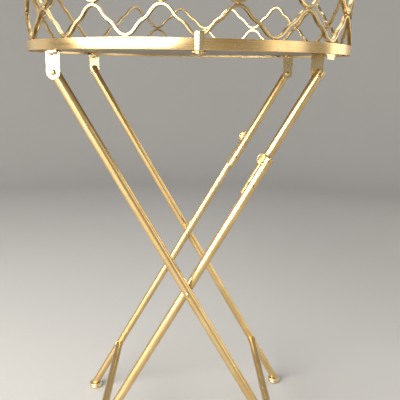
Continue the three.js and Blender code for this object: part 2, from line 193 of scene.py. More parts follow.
def brass(name, pale, deep, rough, grain, round_axis=False, tarnish=0.35, coat=0.15, lines=0.5,
          dents=0.25):
    """Lacquered, brushed brass. grain is the brushing's scale along each of the three coordinates."""
    material = bpy.data.materials.new(name)
    material.use_nodes = True
    tree = material.node_tree
    tree.nodes.clear()
    shader = add(tree, "ShaderNodeBsdfPrincipled", {
        "Metallic": 1.0, "Coat Weight": coat, "Coat Roughness": 0.22, "Coat IOR": 1.5,
    })
    out = add(tree, "ShaderNodeOutputMaterial")
    tree.links.new(shader.outputs[0], out.inputs["Surface"])

    local = add(tree, "ShaderNodeTexCoord").outputs["Object"]
    place = around_axis(tree, local) if round_axis else local
    brushed = add(tree, "ShaderNodeMapping", {"Vector": place, "Scale": grain}).outputs[0]
    fine = add(tree, "ShaderNodeTexNoise", {
        "Vector": brushed, "Scale": 1.0, "Detail": 5.0, "Roughness": 0.62}).outputs["Fac"]
    cloud = add(tree, "ShaderNodeTexNoise", {
        "Vector": local, "Scale": 16.0, "Detail": 4.0, "Roughness": 0.55}).outputs["Fac"]
    mottle = add(tree, "ShaderNodeTexNoise", {
        "Vector": local, "Scale": 130.0, "Detail": 6.0, "Roughness": 0.7}).outputs["Fac"]
    pores = add(tree, "ShaderNodeTexVoronoi", {
        "Vector": local, "Scale": 420.0, "Randomness": 1.0}).outputs["Distance"]

    colour = blend_colour(tree, step_between(tree, cloud, 0.35, 0.68), pale, deep)
    colour = blend_colour(tree, step_between(tree, fine, 0.42, 0.75, 0.0, 0.4), colour,
                          [c * 0.8 for c in deep])
    stain = math_node(tree, "MULTIPLY", step_between(tree, mottle, 0.56, 0.72), tarnish)
    dark = (deep[0] * 0.5, deep[1] * 0.47, deep[2] * 0.45)
    colour = blend_colour(tree, stain, colour, dark)
    speck = math_node(tree, "MULTIPLY", step_between(tree, pores, 0.16, 0.05), tarnish)
    colour = blend_colour(tree, speck, colour, dark)
    # Painted shade: the strips' rounded top and bottom edges, marked by the "edge" attribute, are painted
    # darker, broken up by the mottle.
    edge = add(tree, "ShaderNodeAttribute", attribute_name="edge").outputs["Fac"]
    painted_edge_shade = math_node(tree, "MULTIPLY", edge, step_between(tree, mottle, 0.35, 0.6, 0.35, 1.0))
    colour = blend_colour(tree, painted_edge_shade, colour, [c * 0.62 for c in deep])
    tree.links.new(colour, shader.inputs["Base Color"])

    roughness = step_between(tree, fine, 0.25, 0.8, rough - 0.06, rough + 0.1)
    roughness = math_node(tree, "ADD", roughness, step_between(tree, cloud, 0.3, 0.7, -0.04, 0.05))
    roughness = math_node(tree, "ADD", roughness, math_node(tree, "MULTIPLY", stain, 0.3))
    tree.links.new(roughness, shader.inputs["Roughness"])

    dent = add(tree, "ShaderNodeBump", {
        "Strength": dents, "Distance": 0.0006, "Height": cloud})
    scratch = add(tree, "ShaderNodeBump", {
        "Strength": lines, "Distance": 0.00006, "Height": fine, "Normal": dent.outputs[0]})
    grit = add(tree, "ShaderNodeBump", {
        "Strength": 0.25, "Distance": 0.00008, "Height": mottle, "Normal": scratch.outputs[0]})
    tree.links.new(grit.outputs[0], shader.inputs["Normal"])
    return material


PALE = (0.84, 0.63, 0.32)
GOLD = (0.61, 0.41, 0.16)
material = {
    "tube": brass("drawn_tube_brass", PALE, GOLD, 0.29, (900, 900, 14), tarnish=0.3, dents=0.1),
    "rim": brass("rolled_rim_brass", (0.84, 0.61, 0.30), (0.66, 0.44, 0.18), 0.25,
                 (9, 700, 900), round_axis=True, tarnish=0.25, dents=0.1),
    "lattice": brass("lattice_strip_brass", (0.82, 0.62, 0.32), (0.52, 0.36, 0.15), 0.27,
                     (40, 800, 500), round_axis=True, tarnish=0.45, lines=0.35, dents=0.1),
    # The tray sheet's dark, dull brown colours paint the shade on the tray's underside.
    "panel": brass("tray_sheet_painted_shade_brass", (0.38, 0.31, 0.20), (0.27, 0.215, 0.135), 0.32,
                   (14, 420, 420), round_axis=True, tarnish=0.5, coat=0.05),
    "plate": brass("stamped_plate_brass", (0.86, 0.72, 0.46), (0.62, 0.47, 0.24), 0.27,
                   (700, 700, 60), tarnish=0.2, lines=0.25, dents=0.06),
    "fitting": brass("turned_fitting_brass", (0.80, 0.60, 0.30), (0.50, 0.34, 0.13), 0.25,
                     (500, 500, 500), tarnish=0.4),
    "foot": brass("cast_foot_brass", (0.88, 0.78, 0.54), (0.66, 0.54, 0.32), 0.36,
                  (380, 380, 380), tarnish=0.35),
    # Braze lumps under the rim's edge: their darker colours paint the shade they sit in.
    "lump": brass("braze_painted_shade_metal", (0.62, 0.50, 0.31), (0.36, 0.28, 0.16), 0.42,
                  (260, 260, 260), tarnish=0.7, dents=0.6),
    "braze": brass("braze_metal", (0.80, 0.56, 0.22), (0.46, 0.31, 0.12), 0.32,
                   (300, 300, 300), tarnish=0.6, dents=0.8),
}


def stage_material():
    made = bpy.data.materials.new("pale_paper")
    made.use_nodes = True
    tree = made.node_tree
    shader = tree.nodes["Principled BSDF"]
    shader.inputs["Specular IOR Level"].default_value = 0.2
    place = add(tree, "ShaderNodeTexCoord").outputs["Object"]
    cloud = add(tree, "ShaderNodeTexNoise", {"Vector": place, "Scale": 1.3, "Detail": 3.0}).outputs["Fac"]
    fibre = add(tree, "ShaderNodeTexNoise", {"Vector": place, "Scale": 260.0, "Detail": 3.0}).outputs["Fac"]
    tree.links.new(blend_colour(tree, cloud, (0.37, 0.362, 0.35), (0.41, 0.401, 0.387)),
                   shader.inputs["Base Color"])
    tree.links.new(step_between(tree, fibre, 0.3, 0.7, 0.6, 0.75), shader.inputs["Roughness"])
    return made


# ---- Mesh code ----
def piece(name, verts, faces, body, slot, nodes=(), matrix=None, edge=None, bevel=0.0, finish=None,
          sharp=35):
    """Makes one piece of the object, riding on a body and standing for CAD nodes."""
    mesh = bpy.data.meshes.new(name)
    mesh.from_pydata([tuple(v) for v in verts], [], faces)
    built = bmesh.new()
    built.from_mesh(mesh)
    bmesh.ops.recalc_face_normals(built, faces=built.faces)
    built.to_mesh(mesh)
    built.free()
    mesh.polygons.foreach_set("use_smooth", [True] * len(mesh.polygons))
    if edge is not None:
        layer = mesh.attributes.new("edge", "FLOAT", "POINT")
        layer.data.foreach_set("value", edge)
    mesh.materials.append(finish or material[slot])
    made = bpy.data.objects.new(name, mesh)
    scene.collection.objects.link(made)
    if matrix is not None:
        made.matrix_world = matrix
    if bevel:
        rounding = made.modifiers.new("rounded_edges", "BEVEL")
        rounding.width = bevel
        rounding.segments = 3
        rounding.limit_method = "ANGLE"
        rounding.angle_limit = math.radians(sharp)
        rounding.harden_normals = True
    mesh.set_sharp_from_angle(angle=math.radians(sharp))
    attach(made, body)
    if nodes:
        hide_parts(*nodes)
    return made


def facing(at, direction, up=(0, 1, 0)):
    """A matrix whose Z axis points along direction, and whose Y axis is near up."""
    z = Vector(direction).normalized()
    x = Vector(up).cross(z)
    if x.length < 1e-6:
        x = Vector((1, 0, 0))
    x.normalize()
    turn = Matrix((x, z.cross(x), z)).transposed().to_4x4()
    return Matrix.Translation(at) @ turn


def rings_to_faces(rings, count, wrap):
    faces = []
    spans = range(rings if wrap else rings - 1)
    for i in spans:
        a, b = i * count, (i + 1) % rings * count
        for k in range(count):
            m = (k + 1) % count
            faces.append((a + k, a + m, b + m, b + k))
    return faces


def turned(profile, segments):
    """A turned solid: profile runs from the axis, out and back to it, as (radius, height)."""
    verts, faces = [], []
    inner = profile[1:-1]
    for radius, height in inner:
        for k in range(segments):
            a = 2 * math.pi * k / segments
            verts.append((radius * math.cos(a), radius * math.sin(a), height))
    faces += rings_to_faces(len(inner), segments, wrap=False)
    for pole, ring in ((profile[0], 0), (profile[-1], len(inner) - 1)):
        verts.append((0, 0, pole[1]))
        centre = len(verts) - 1
        for k in range(segments):
            faces.append((centre, ring * segments + k, ring * segments + (k + 1) % segments))
    return verts, faces


def hoop(profile, segments=256):
    """A turned ring from a closed profile of (radius, height)."""
    verts = []
    for radius, height in profile:
        for k in range(segments):
            a = 2 * math.pi * k / segments
            verts.append((radius * math.cos(a), radius * math.sin(a), height))
    return verts, rings_to_faces(len(profile), segments, wrap=True)


def rounded_box_profile(x0, x1, z0, z1, radius, steps=4):
    points = []
    for cx, cz, start in ((x1 - radius, z0 + radius, -90), (x1 - radius, z1 - radius, 0),
                          (x0 + radius, z1 - radius, 90), (x0 + radius, z0 + radius, 180)):
        for k in range(steps + 1):
            a = math.radians(start + 90 * k / steps)
            points.append((cx + radius * math.cos(a), cz + radius * math.sin(a)))
    return points


def tube(name, start, end, body, nodes, end_cut=None):
    """A drawn leg tube with rounded lips. end_cut says how far its end moves along, at each (x, y) across."""
    length = (end - start).length
    lip = TUBE_WALL / 2
    middle = TUBE_R - lip
    profile = []  # radius, height, and the cut that moves this ring
    for k in range(7):
        a = math.pi * (1 - k / 6)
        profile.append((middle + lip * math.cos(a), lip - lip * math.sin(a), None))
    spans = max(2, round(length / TUBE_RING_STEP))
    for k in range(1, spans):
        profile.append((TUBE_R, length * k / spans, None))
    for k in range(7):
        a = math.pi * k / 6
        profile.append((middle + lip * math.cos(a), length - lip + lip * math.sin(a), end_cut))
    count = 56
    verts = []
    for r, height, cut in profile:
        for k in range(count):
            a = 2 * math.pi * k / count
            x, y = r * math.cos(a), r * math.sin(a)
            verts.append((x, y, height + (cut(x, y) if cut else 0)))
    faces = rings_to_faces(len(profile), count, wrap=True)
    return piece(name, verts, faces, body, "tube", nodes, facing(start, end - start))


def rivet(name, at, direction, length, body, nodes, head_r=RIVET_HEAD_R, head_h=RIVET_HEAD_H,
          tail=True):
    """A rivet whose domed head stands at 'at' and whose shank runs along direction."""
    profile = [(0, -head_h)]
    for k in range(1, 9):
        a = math.pi / 2 * k / 8
        profile.append((head_r * math.sin(a), -head_h * math.cos(a)))
    profile += [(head_r * 0.98, 0.12 * MM), (RIVET_R, 0.14 * MM)]
    if tail:
        flat = head_r - 0.9 * MM
        profile += [(RIVET_R, length), (flat, length), (flat + 0.25 * MM, length + 0.2 * MM),
                    (flat + 0.2 * MM, length + 0.8 * MM), (flat * 0.8, length + 1.15 * MM),
                    (0, length + 1.2 * MM)]
    else:
        profile += [(RIVET_R, length - 0.3 * MM), (RIVET_R - 0.3 * MM, length), (0, length)]
    verts, faces = turned(profile, 40)
    return piece(name, verts, faces, body, "fitting", nodes, facing(at, direction), sharp=50)


def blob(centre, size, axes, seed, rough=0.22):
    """A lump of braze: an uneven ball, flattened to size along three axes."""
    ball = bmesh.new()
    bmesh.ops.create_icosphere(ball, subdivisions=3, radius=1)
    verts = []
    for v in ball.verts:
        p = v.co.normalized()
        swell = 1 + rough * noise.noise(p * 1.7 + Vector((seed, 0, seed * 0.37)))
        swell += 0.35 * rough * noise.noise(p * 5 + Vector((0, seed, 0)))
        p = p * swell
        verts.append(centre + axes[0] * (p.x * size[0]) + axes[1] * (p.y * size[1])
                     + axes[2] * (p.z * size[2]))
    faces = [tuple(v.index for v in f.verts) for f in ball.faces]
    ball.free()
    return verts, faces


def gather(parts):
    verts, faces = [], []
    for more_verts, more_faces in parts:
        base = len(verts)
        verts += more_verts
        faces += [tuple(base + i for i in f) for f in more_faces]
    return verts, faces


def bead_ring(path, radius, seed):
    """A weld bead laid along a closed path."""
    count, sides = len(path), 10
    verts = []
    for i, p in enumerate(path):
        ahead = (path[(i + 1) % count] - path[i - 1]).normalized()
        side = ahead.orthogonal().normalized()
        up = ahead.cross(side)
        r = radius * (1 + 0.35 * noise.noise(p * 700 + Vector((seed, seed, 0)))
                      + 0.12 * math.sin(i * 1.9))
        for k in range(sides):
            a = 2 * math.pi * k / sides
            verts.append(p + side * (r * math.cos(a)) + up * (r * math.sin(a)))
    return verts, rings_to_faces(count, sides, wrap=True)


def plate(name, outline, thick, body, nodes, matrix, bevel=0.35 * MM):
    """A flat plate with rounded edges: its outline lies in the matrix's X-Y plane."""
    count = len(outline)
    verts = [(x, y, 0) for x, y in outline] + [(x, y, thick) for x, y in outline]
    faces = [tuple(range(count)), tuple(range(count, 2 * count))]
    faces += [(k, (k + 1) % count, count + (k + 1) % count, count + k) for k in range(count)]
    return piece(name, verts, faces, body, "plate", nodes, matrix, bevel=bevel)


def strap(rows, thick, columns):
    """A bent strap. Each row is (middle, across, normal, half width)."""
    verts = []
    for layer in (-0.5, 0.5):
        for middle, across, normal, half in rows:
            for k in range(columns):
                u = 2 * k / (columns - 1) - 1
                verts.append(middle + across * (u * half) + normal * (thick * layer))
    n = len(rows)

    def at(layer, row, column):
        return (layer * n + row) * columns + column

    faces = []
    for row in range(n - 1):
        for c in range(columns - 1):
            for layer in (0, 1):
                faces.append((at(layer, row, c), at(layer, row, c + 1),
                              at(layer, row + 1, c + 1), at(layer, row + 1, c)))
        for c in (0, columns - 1):
            faces.append((at(0, row, c), at(0, row + 1, c), at(1, row + 1, c), at(1, row, c)))
    for row in (0, n - 1):
        for c in range(columns - 1):
            faces.append((at(0, row, c), at(0, row, c + 1), at(1, row, c + 1), at(1, row, c)))
    return verts, faces


# ---- Tray ----
def tray_point(angle, radius, z):
    return Vector((radius * math.sin(angle), -radius * math.cos(angle), z))


def ogee(share):
    once = math.sin(2 * math.pi * share)
    kink = once - math.sin(4 * math.pi * share) / 2
    fuller = once - math.sin(6 * math.pi * share) / 3
    return (1 - math.cos(math.pi * share)) / 2 + SHOULDER * kink - ROUNDING * fuller


def drifted(even_degrees):
    """Where the wave that would stand at an even angle really stands: the strips are hand bent."""
    even = math.radians(even_degrees)
    drift = DRIFT_MEAN + sum(c * math.cos(n * even) + s * math.sin(n * even)
                             for n, (c, s) in enumerate(DRIFT_WAVES, 1))
    return even + math.radians(drift)


CELL = 360 / CELLS
CLIP_ANGLE = drifted(FIRST_VALLEY)


def gallery_wave(name, first_valley, valley_z, nodes):
    """One strip on edge, which runs round the tray in waves."""
    steps = 36
    count = CELLS * steps
    path = []
    for i in range(count):
        place = 2 * (i % steps) / steps
        angle = drifted(first_valley + 360 * i / count)
        path.append((angle, valley_z + WAVE_H * ogee(min(place, 2 - place))))
    section = rounded_box_profile(-STRIP_DEPTH / 2, STRIP_DEPTH / 2, -STRIP_T / 2, STRIP_T / 2,
                                  1.1 * MM)
    verts, edge = [], []
    for i, (angle, z) in enumerate(path):
        before = path[i - 1]
        after = path[(i + 1) % count]
        turn = (after[0] - before[0]) % (2 * math.pi)
        slope = math.atan2(after[1] - before[1], turn * STRIP_MIDDLE)
        thick = 0.97 + 0.03 * noise.noise(Vector((i * 0.07, valley_z * 100, 0)))
        lean = 0.1 * MM * noise.noise(Vector((i * 0.03, 5, valley_z * 100)))
        for d, n in section:
            n *= thick
            along = -n * math.sin(slope) / STRIP_MIDDLE
            verts.append(tray_point(angle + along, STRIP_MIDDLE + d + lean, z + n * math.cos(slope)))
            # How much painted edge shade each point gets: none across the strip's middle, most at its rounded
            # top and bottom edges.
            edge.append(max(0.0, abs(n) / (STRIP_T / 2) - 0.6) * 1.1)
    faces = rings_to_faces(count, len(section), wrap=True)
    return piece(name, verts, faces, "tray", "lattice", nodes, edge=edge, sharp=60)


def make_tray():
    rim = rounded_box_profile(RIM_R - RIM_T, RIM_R, RIM_LOW, RIM_TOP, 0.5 * MM)
    verts, faces = hoop(rim)
    piece("rim_hoop", verts, faces, "tray", "rim", ["rim_band"], sharp=50)
    edge_r = RIM_R - RIM_T - 0.4 * MM
    top = PANEL_Z + PANEL_T
    verts, faces = turned([(0, PANEL_Z), (edge_r * 0.5, PANEL_Z), (edge_r - 6 * MM, PANEL_Z),
                           (edge_r - 0.3 * MM, PANEL_Z), (edge_r, PANEL_Z + 0.3 * MM),
                           (edge_r, top - 0.3 * MM), (edge_r - 0.3 * MM, top),
                           (edge_r - 6 * MM, top), (edge_r * 0.5, top), (0, top)], 192)
    piece("tray_sheet", verts, faces, "tray", "panel", ["tray_panel"])
    gallery_wave("gallery_lower_strip", FIRST_VALLEY, LOWER_Z, ["gallery_lower_wave"])
    gallery_wave("gallery_upper_strip", FIRST_VALLEY + CELL / 2, UPPER_Z, ["gallery_upper_wave"])
    beads = []
    for i in range(CELLS):
        for even, z in ((FIRST_VALLEY + CELL * i, RIM_TOP + 0.2 * MM),
                        (FIRST_VALLEY + CELL * (i + 0.5), UPPER_Z - STRIP_T / 2 - 0.15 * MM)):
            a = drifted(even) + math.radians(draw.uniform(-0.25, 0.25))
            axes = (Vector((math.cos(a), math.sin(a), 0)), Vector((math.sin(a), -math.cos(a), 0)),
                    Vector((0, 0, 1)))
            size = (draw.uniform(2.2, 3.4) * MM, 2.1 * MM, draw.uniform(0.7, 1.0) * MM)
            beads.append(blob(tray_point(a, STRIP_MIDDLE, z), size, axes, draw.uniform(0, 60)))
    verts, faces = gather(beads)
    piece("gallery_braze", verts, faces, "tray", "fitting", finish=material["braze"], sharp=180)


# ---- The clip over the rim's joint ----
CLIP_T = 1.5 * MM
CLIP_HALF = 5 * MM
CLIP_BEND = 1.6 * MM
CLIP_OVER = 3.4 * MM  # above the lower strip's valley
CLIP_REACH = 2.6 * MM  # inside the strip
CLIP_TAIL = 13 * MM
CLIP_CREASE = 1.05 * MM
CLIP_STUD_IN = 5 * MM


def make_clip():
    across = Vector((math.cos(CLIP_ANGLE), math.sin(CLIP_ANGLE), 0))
    outward = Vector((math.sin(CLIP_ANGLE), -math.cos(CLIP_ANGLE), 0))
    up = Vector((0, 0, 1))
    face = RIM_R + GAP + CLIP_T / 2
    inside = RIM_R - STRIP_DEPTH - CLIP_REACH
    top = LOWER_Z + STRIP_T / 2 + CLIP_OVER - CLIP_T / 2
    low = RIM_LOW - GAP - CLIP_T / 2
    corners = [(inside, PANEL_Z + PANEL_T + GAP), (inside, top), (face, top), (face, low),
               (face - CLIP_TAIL, low)]
    path = [corners[0]]
    for before, corner, after in zip(corners, corners[1:], corners[2:]):
        c = Vector(corner)
        a = (Vector(before) - c).normalized() * CLIP_BEND
        b = (Vector(after) - c).normalized() * CLIP_BEND
        for k in range(7):
            t = k / 6
            path.append(tuple(c + a * (1 - t) ** 2 + b * t ** 2))
    path.append(corners[-1])
    dense = []
    for p, q in zip(path, path[1:]):
        steps = max(1, round((Vector(q) - Vector(p)).length / (1.5 * MM)))
        dense += [tuple(Vector(p).lerp(Vector(q), k / steps)) for k in range(steps)]
    dense.append(path[-1])
    columns = 11
    rows = []
    for i, (r, z) in enumerate(dense):
        before = dense[max(0, i - 1)]
        after = dense[min(len(dense) - 1, i + 1)]
        ahead = Vector((after[0] - before[0], after[1] - before[1])).normalized()
        normal = outward * (-ahead.y) + up * ahead.x
        rows.append((outward * r + up * z, across, normal,
                     CLIP_HALF * (1 + 0.04 * math.sin(i * 0.5))))
    verts, faces = strap(rows, CLIP_T, columns)
    moved = []
    for k, v in enumerate(verts):
        u = abs(2 * (k % columns) / (columns - 1) - 1)
        outer_face = v.dot(outward) > face
        moved.append(v - outward * (CLIP_CREASE * u * outer_face))
    piece("rim_joint_strap", moved, faces, "tray", "plate", ["rim_joint_clip"], bevel=0.3 * MM)
    head = [(0, -3.4 * MM), (2.6 * MM, -3.3 * MM), (4.4 * MM, -2.9 * MM), (5.3 * MM, -2.2 * MM),
            (5.6 * MM, -1.2 * MM), (5.4 * MM, -0.3 * MM), (5 * MM, 0), (0, 0)]
    verts, faces = turned(head, 40)
    at = outward * (RIM_R - CLIP_STUD_IN) + up * (low - CLIP_T / 2)
    piece("rim_clip_stud", verts, faces, "tray", "fitting", ["rim_clip_screw"], facing(at, up, outward))
    seat = outward * (RIM_R - 4.2 * MM) + up * (RIM_LOW - 2.2 * MM)
    verts, faces = gather([
        blob(seat - across * (4.2 * MM), (5 * MM, 3.4 * MM, 2.3 * MM), (across, outward, up), 2.4, 0.3),
        blob(seat + across * (4.6 * MM), (4.6 * MM, 3.4 * MM, 2.1 * MM), (across, outward, up), 7.9, 0.3),
    ])
    # These lumps take the darker lump finish, which paints the shade under the rim.
    piece("rim_clip_braze", verts, faces, "tray", "fitting", finish=material["lump"], sharp=180)


# ---- Tabs under the sheet ----
TAB_PLACES = (1, 2, 3, 4, 6)  # in eighths of a turn from the clip
TAB_T = 1.8 * MM
TAB_HALF = 4 * MM
TAB_BEND = 1.4 * MM
TAB_REACH = 8.7 * MM
LOW_TAB_HALF = 11 * MM
LOW_TAB_DROP = 7 * MM
LOW_TAB_TURN = 2.5
LOW_TAB_TAPER = 0.72


def make_tabs():
    """Angle tabs inside the rim that carry the sheet. Only the first, a wider one, hangs below the rim."""
    up = Vector((0, 0, 1))
    for number, place in enumerate(TAB_PLACES, 1):
        hangs = number == 1
        half = LOW_TAB_HALF if hangs else TAB_HALF
        low = RIM_LOW - LOW_TAB_DROP if hangs else RIM_LOW
        a = CLIP_ANGLE + math.radians(45 * place + (LOW_TAB_TURN if hangs else 0))
        across = Vector((math.cos(a), math.sin(a), 0))
        outward = Vector((math.sin(a), -math.cos(a), 0))
        level = PANEL_Z - GAP - TAB_T / 2
        face = math.sqrt((RIM_R - RIM_T - GAP) ** 2 - half ** 2) - TAB_T / 2
        rows = []
        for t in (0, 0.5, 1):
            width = half * (LOW_TAB_TAPER + (1 - LOW_TAB_TAPER) * t) if hangs else half
            z = low + t * (level - TAB_BEND - low)
            rows.append((outward * face + up * z, across, outward, width))
        for k in range(1, 6):
            q = math.pi / 2 * k / 6
            middle = outward * (face - TAB_BEND * (1 - math.cos(q)))
            middle += up * (level - TAB_BEND * (1 - math.sin(q)))
            rows.append((middle, across, outward * math.cos(q) + up * math.sin(q), half))
        for t in (0, 0.5, 1):
            rows.append((outward * (face - TAB_BEND - t * TAB_REACH) + up * level, across, up, half))
        verts, faces = strap(rows, TAB_T, 5)
        piece(f"panel_tab_{number}_strap", verts, faces, "tray", "plate", [f"panel_tab_{number}"],
              bevel=0.3 * MM)


# ---- Leg brackets ----
def bracket(name, x, y, side, top, nodes):
    half = PLATE_W / 2
    up = Vector((0, 0, 1))
    across = Vector((1, 0, 0))
    outward = Vector((0, side, 0))
    bend = 2.6 * MM
    low = PIVOT_A.z - half
    level = top - PLATE_T / 2
    rows = []
    for k in range(1, 13):
        a = math.pi / 2 * k / 12
        rows.append((Vector((x, y, low + half * (1 - math.cos(a)))), across, outward, half * math.sin(a)))
    for t in (0.25, 0.5, 0.75, 1):
        z = PIVOT_A.z + (level - bend - PIVOT_A.z) * t
        rows.append((Vector((x, y, z)), across, outward, half))
    for k in range(1, 8):
        a = math.pi / 2 * k / 8
        rows.append((Vector((x, y, level - bend)) - outward * (bend * (1 - math.cos(a)))
                     + up * (bend * math.sin(a)), across, outward * math.cos(a) + up * math.sin(a), half))
    far = FLANGE - PLATE_T / 2
    corner = 3 * MM
    for t in (0, 0.35, 0.7, 1):
        d = bend + (far - corner - bend) * t
        rows.append((Vector((x, y, level)) - outward * d, across, up, half))
    for k in range(1, 6):
        a = math.pi / 2 * k / 5.5
        d = far - corner + corner * math.sin(a)
        rows.append((Vector((x, y, level)) - outward * d, across, up, half - corner * (1 - math.cos(a))))
    verts, faces = strap(rows, PLATE_T, 13)
    piece(name, verts, faces, "tray", "plate", nodes, bevel=0.4 * MM)


def make_brackets():
    up = Vector((0, 0, 1))
    for where, side in FRONT_REAR.items():
        top_a = RIM_LOW - GAP
        top_b = PANEL_Z - GAP
        for letter, x, plate_y, top in (("a", PIVOT_A.x, PLATE_A_Y, top_a),
                                        ("b", PIVOT_B.x, PLATE_B_Y, top_b)):
            y = side * plate_y
            bracket(f"bracket_{letter}_{where}_plate", x, y, side, top, [f"bracket_{letter}_{where}"])
            head = top - PLATE_T - GAP
            reach = PANEL_Z - GAP - head
            profile = [(0, -2.2 * MM), (1.4 * MM, -2.15 * MM), (2.6 * MM, -1.9 * MM), (3.6 * MM, -1.3 * MM),
                       (4 * MM, -0.6 * MM), (4 * MM, -0.1 * MM), (3.8 * MM, 0), (2 * MM, 0), (2 * MM, reach),
                       (0, reach)]
            verts, faces = turned(profile, 36)
            piece(f"bracket_{letter}_{where}_stud", verts, faces, "tray", "fitting",
                  [f"bracket_screw_{letter}_{where}"], facing((x, y - side * SCREW_IN, head), up))
        y_a = side * PLATE_A_Y
        ring = rounded_box_profile(2.3 * MM, SPACER_R, top_a + GAP, PANEL_Z - GAP, 0.4 * MM)
        verts, faces = hoop(ring, 40)
        piece(f"bracket_{where}_washer", verts, faces, "tray", "fitting", [f"bracket_spacer_{where}"],
              Matrix.Translation((PIVOT_A.x, y_a - side * SCREW_IN, 0)))
        at = Vector((PIVOT_A.x, side * (PLATE_A_Y + PLATE_T / 2 + GAP), PIVOT_A.z))
        inward = Vector((0, -side, 0))
        rivet(f"pivot_a_{where}_rivet", at, inward, abs(at.y) - (LEG_A_Y - TUBE_R - GAP), "tray",
              [f"pivot_rivet_a_{where}"])
        at = Vector((PIVOT_B.x, side * (PLATE_B_Y - PLATE_T / 2 - GAP), PIVOT_B.z))
        rivet(f"pivot_b_{where}_rivet", at, -inward, LINK_Y + TUBE_R + GAP - abs(at.y), "tray",
              [f"pivot_rivet_b_{where}"])


def make_bracket_braze():
    """The lump that shows over the front left bracket, under the rim's edge."""
    at = Vector((PIVOT_A.x, -(PLATE_A_Y + PLATE_T / 2), RIM_LOW - 3.4 * MM))
    axes = (Vector((1, 0, 0)), Vector((0, 1, 0)), Vector((0, 0, 1)))
    verts, faces = gather([
        blob(at, (6.9 * MM, 3 * MM, 3.9 * MM), axes, 4.2, 0.3),
        blob(at + Vector((3.6, -0.3, 1.1)) * MM, (3.6 * MM, 2.6 * MM, 2.5 * MM), axes, 9.7, 0.3),
    ])
    # Its darker lump finish paints the shade under the rim's edge.
    piece("bracket_a_front_braze", verts, faces, "tray", "fitting", finish=material["lump"], sharp=180)


# ---- Legs ----
def level_cut(direction):
    """Cuts a tube's end level with the floor."""
    frame_of = facing((0, 0, 0), direction).to_3x3()
    up = frame_of.transposed() @ Vector((0, 0, 1))
    return lambda x, y: -(up.x * x + up.y * y) / up.z


def cope(leg_direction, sign):
    """Shapes a cross bar's end to sit on a leg tube."""
    frame_of = facing((0, 0, 0), (0, 1, 0), (0, 0, 1)).to_3x3()
    along = frame_of.transposed() @ leg_direction

    def cut(x, y):
        u = x * along.y - y * along.x
        return sign * math.sqrt(max(0.0, (TUBE_R + 0.05 * MM) ** 2 - u * u))

    return cut


def cross_bar(name, at, leg_y, leg_direction, body, nodes):
    length = 2 * leg_y
    start, end = at.copy(), at.copy()
    start.y, end.y = -leg_y, leg_y
    cut_start, cut_end = cope(leg_direction, 1), cope(leg_direction, -1)
    lip = TUBE_WALL / 2
    profile = []
    for k in range(7):
        a = math.pi * (1 - k / 6)
        profile.append((BAR_R - lip + lip * math.cos(a), 0, cut_start))
    for k in range(1, 14):
        profile.append((BAR_R, length * k / 14, None))
    for k in range(7):
        a = math.pi * k / 6
        profile.append((BAR_R - lip + lip * math.cos(a), length, cut_end))
    count = 48
    verts = []
    for r, height, cut in profile:
        for k in range(count):
            a = 2 * math.pi * k / count
            x, y = r * math.cos(a), r * math.sin(a)
            verts.append((x, y, height + (cut(x, y) if cut else 0)))
    matrix = facing(start, (0, 1, 0), (0, 0, 1))
    piece(name, verts, rings_to_faces(len(profile), count, wrap=True), body, "tube", nodes, matrix)
    for where, cut, height in (("front", cut_start, 0), ("rear", cut_end, length)):
        path = []
        for k in range(60):
            a = 2 * math.pi * k / 60
            x, y = (BAR_R + 0.2 * MM) * math.cos(a), (BAR_R + 0.2 * MM) * math.sin(a)
            path.append(matrix @ Vector((x, y, height + cut(x, y))))
        verts, faces = bead_ring(path, 1.15 * MM, 3.1 + height * 40)
        piece(f"{name}_{where}_weld", verts, faces, body, "fitting", finish=material["braze"], sharp=180)


def foot(name, at, body, nodes):
    """A disc foot: a base and a cap with a groove between them."""
    waist = FOOT_H / 2 - 0.55 * MM
    groove = 1.1 * MM
    round_r = 1.6 * MM
    profile = [(0, 0), (FOOT_R - round_r, 0)]
    for k in range(1, 6):
        a = math.pi / 2 * k / 5
        profile.append((FOOT_R - round_r + round_r * math.sin(a), round_r - round_r * math.cos(a)))
    for k in range(9):
        a = math.pi * k / 8
        profile.append((FOOT_R - groove * math.sin(a), waist - groove * math.cos(a)))
    for k in range(6):
        a = math.pi / 2 * k / 5
        profile.append((FOOT_R - round_r + round_r * math.cos(a), FOOT_H - round_r + round_r * math.sin(a)))
    profile += [(TUBE_R + 2.4 * MM, FOOT_H), (TUBE_R + 1.8 * MM, FOOT_H - 0.5 * MM), (0, FOOT_H - 0.5 * MM)]
    verts, faces = turned(profile, 56)
    piece(name, verts, faces, body, "fitting", nodes, Matrix.Translation((at.x, at.y, 0)),
          finish=material["foot"])


def make_frame_a():
    body = "frame_a"
    cross_bar("crossbar_a_tube", on_a(BAR_AT, 0), LEG_A_Y, DOWN_A, body, ["crossbar_a"])
    cross = on_a(SIDE, 0)
    for where, side in FRONT_REAR.items():
        y = side * LEG_A_Y
        end = on_a(FOOT_AT - GAP, y)
        tube(f"leg_a_{where}_tube", on_a(-TOP_OVERRUN, y), end, body, [f"leg_a_{where}"],
             end_cut=level_cut(DOWN_A))
        foot(f"foot_a_{where}_disc", on_a(FOOT_AT, y), body, [f"foot_a_{where}"])
        inner = LEG_B_Y + TUBE_R + 0.6 * MM
        head = Vector((cross.x, side * (LEG_A_Y + TUBE_R + GAP), cross.z))
        rivet(f"cross_a_{where}_rivet", head, (0, -side, 0), abs(head.y) - inner, body,
              [f"cross_rivet_a_{where}"], tail=False)
        sleeve = rounded_box_profile(2.8 * MM, SPACER_R, inner, LEG_A_Y - TUBE_R - GAP, 0.4 * MM)
        verts, faces = hoop(sleeve, 40)
        piece(f"cross_{where}_sleeve", verts, faces, body, "fitting", [f"cross_spacer_{where}"],
              facing((cross.x, 0, cross.z), (0, side, 0), (0, 0, 1)))


